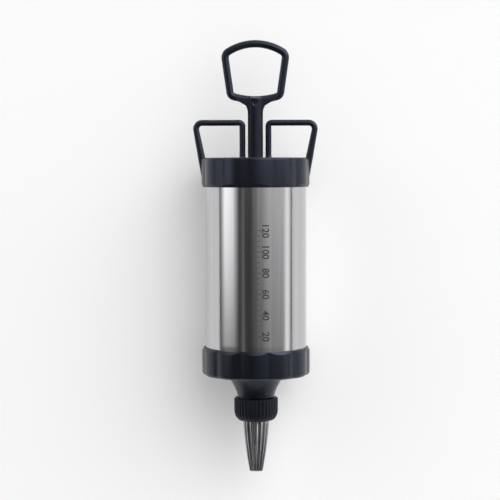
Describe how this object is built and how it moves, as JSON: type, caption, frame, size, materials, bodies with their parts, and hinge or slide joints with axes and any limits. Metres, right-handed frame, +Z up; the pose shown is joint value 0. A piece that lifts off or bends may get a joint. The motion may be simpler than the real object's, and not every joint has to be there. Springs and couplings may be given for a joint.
{
  "type": "donut filling injector",
  "caption": "Hand syringe for filling donuts: steel barrel between lobed black caps, finger loops, ribbed plunger with thumb loop, fluted steel nozzle held by a ribbed nut",
  "frame": {"origin": "on the surface that the injector lies on, under the middle of its length and of its width", "axes": "+Y runs along the barrel from the nozzle to the thumb loop, +X is to the right seen from above with the thumb loop at the top, +Z points up, square to the plane of the finger loops"},
  "size_m": [0.0622, 0.2162, 0.0541],
  "materials": {
    "barrel_steel": "bright stainless with a fine lengthwise grain",
    "cap_plastic": "satin black moulded plastic, slightly blue",
    "rod_plastic": "satin black moulded plastic, slightly blue",
    "piston_plastic": "black moulded plastic",
    "silicone": "milky food-grade silicone",
    "screw_steel": "plain stainless",
    "nut_plastic": "satin black moulded plastic",
    "nozzle_steel": "pressed stainless sheet"
  },
  "bodies": {
    "barrel": {"barrel": "barrel_steel"},
    "top_cap": {"top_cap": "cap_plastic"},
    "plunger": {"plunger_rod": "rod_plastic", "piston_upper_plate": "piston_plastic", "piston_seal": "silicone", "piston_lower_plate": "piston_plastic", "piston_screw": "screw_steel"},
    "bottom_gasket": {"bottom_gasket": "silicone"},
    "bottom_cap": {"bottom_cap": "cap_plastic"},
    "nozzle": {"nozzle": "nozzle_steel"},
    "nozzle_nut": {"nozzle_nut": "nut_plastic"}
  },
  "joints": [
    {"name": "top_cap_twist", "type": "hinge", "parent": "barrel", "child": "top_cap", "pos_m": [0, 0.04233, 0.02704], "axis": [0, 1, 0], "range_deg": [0, 50]},
    {"name": "plunger_slide", "type": "slide", "parent": "top_cap", "child": "plunger", "axis": [0, 1, 0], "range_m": [0, 0.0793]},
    {"name": "bottom_gasket_travel", "type": "slide", "parent": "barrel", "child": "bottom_gasket", "axis": [0, -1, 0], "range_m": [0, 0.006]},
    {"name": "bottom_cap_unscrew", "type": "hinge", "parent": "bottom_gasket", "child": "bottom_cap", "pos_m": [0, -0.05223, 0.02704], "axis": [0, -1, 0], "range_deg": [0, 720]},
    {"name": "nozzle_travel", "type": "slide", "parent": "bottom_cap", "child": "nozzle", "axis": [0, -1, 0], "range_m": [0, 0.0075]},
    {"name": "nozzle_nut_unscrew", "type": "hinge", "parent": "nozzle", "child": "nozzle_nut", "pos_m": [0, -0.07658, 0.02704], "axis": [0, -1, 0], "range_deg": [0, 1080]}
  ],
  "couplings": [
    {"joint": "bottom_gasket_travel", "follows": "bottom_cap_unscrew", "m_per_rad": 0.00047746},
    {"joint": "nozzle_travel", "follows": "nozzle_nut_unscrew", "m_per_rad": 0.00039788}
  ]
}
